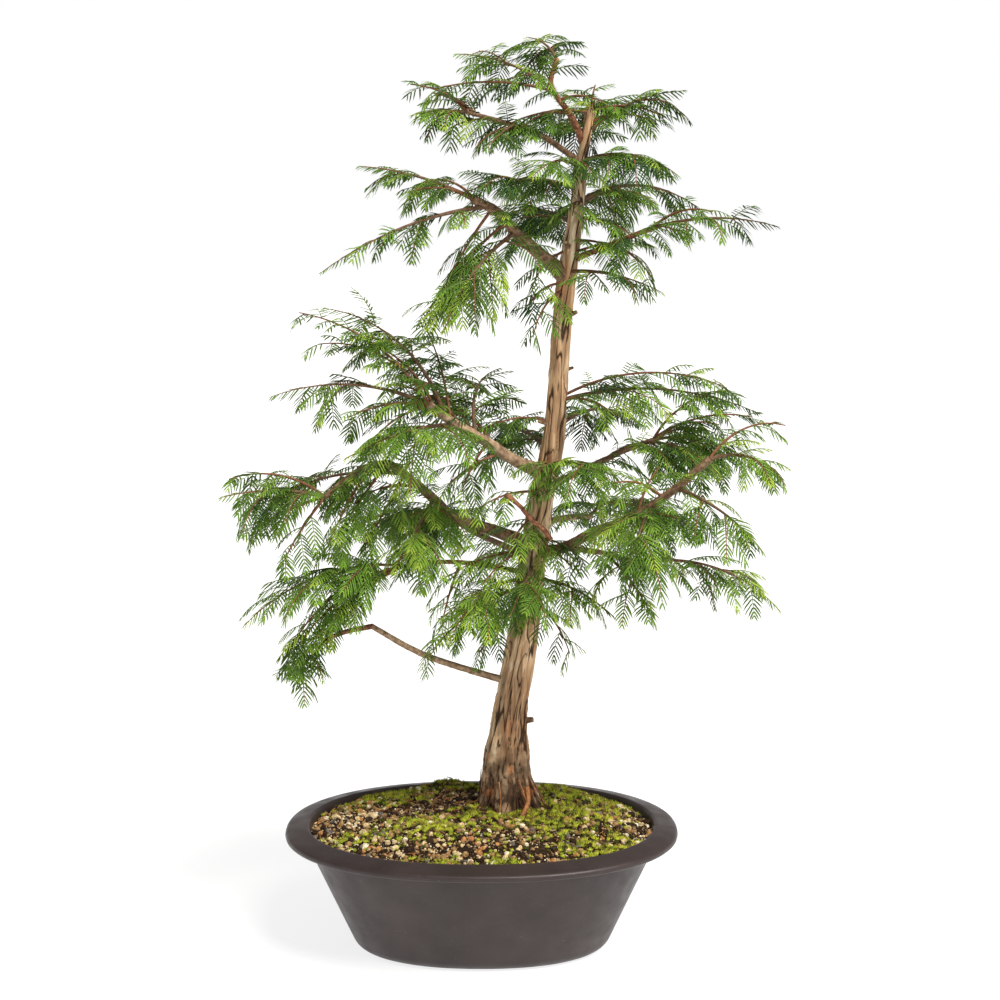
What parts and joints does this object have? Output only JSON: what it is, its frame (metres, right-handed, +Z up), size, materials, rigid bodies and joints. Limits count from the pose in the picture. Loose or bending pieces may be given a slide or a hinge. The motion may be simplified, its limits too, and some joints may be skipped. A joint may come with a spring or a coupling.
{
  "type": "dawn redwood bonsai",
  "caption": "Young dawn redwood grown as a bonsai, with a tapering trunk and tiers of feathery foliage, in an oval training pot.",
  "frame": {"origin": "middle of the pot's flat underside", "axes": "+Z up, +X along the pot's length to the right of the picture, +Y away from the viewer"},
  "size_m": [0.4893, 0.3725, 0.8208],
  "materials": {
    "pot_plastic": "satin brown-grey plastic",
    "soil": "damp gritty soil with moss",
    "bark": "fibrous bark",
    "needles": "soft green needles"
  },
  "bodies": {
    "root": {"pot": "pot_plastic", "soil": "soil", "trunk": "bark", "bough_low_left": "bark", "bough_low_left_tip": "bark", "bough_left_twig": "bark", "bough_mid_left": "bark", "bough_up_left": "bark", "bough_right_low": "bark", "bough_right_low_side": "bark", "bough_right_mid": "bark", "bough_high_left": "bark", "bough_high_right": "bark", "bough_top_left": "bark", "bough_leader": "bark", "bough_back_left": "bark", "bough_back_right": "bark", "foliage_low_left": "needles", "foliage_left_drop": "needles", "foliage_left_hanging": "needles", "foliage_centre_front": "needles", "foliage_centre_low": "needles", "foliage_right_drop": "needles", "foliage_right_drop_inner": "needles", "foliage_back_left": "needles", "foliage_back_right": "needles", "foliage_left_far": "needles", "foliage_left_shelf": "needles", "foliage_left_inner": "needles", "foliage_left_near": "needles", "foliage_up_left_outer": "needles", "foliage_up_left_top": "needles", "foliage_up_left_low": "needles", "foliage_up_left_inner": "needles", "foliage_centre_mid": "needles", "foliage_right_top": "needles", "foliage_right_outer": "needles", "foliage_right_outer_low": "needles", "foliage_right_inner": "needles", "foliage_right_back": "needles", "foliage_right_middle": "needles", "foliage_back_mid": "needles", "foliage_back_upper": "needles", "foliage_high_left_outer": "needles", "foliage_high_left_long": "needles", "foliage_high_left_under": "needles", "foliage_high_left_inner": "needles", "foliage_high_right_outer": "needles", "foliage_high_right_low": "needles", "foliage_high_right_mid": "needles", "foliage_high_back_left": "needles", "foliage_high_back_right": "needles", "foliage_top_left": "needles", "foliage_top_left_low": "needles", "foliage_crown_left": "needles", "foliage_top": "needles", "foliage_top_right": "needles", "foliage_crown_right": "needles", "foliage_crown_back": "needles", "foliage_crown_front": "needles"}
  },
  "joints": []
}
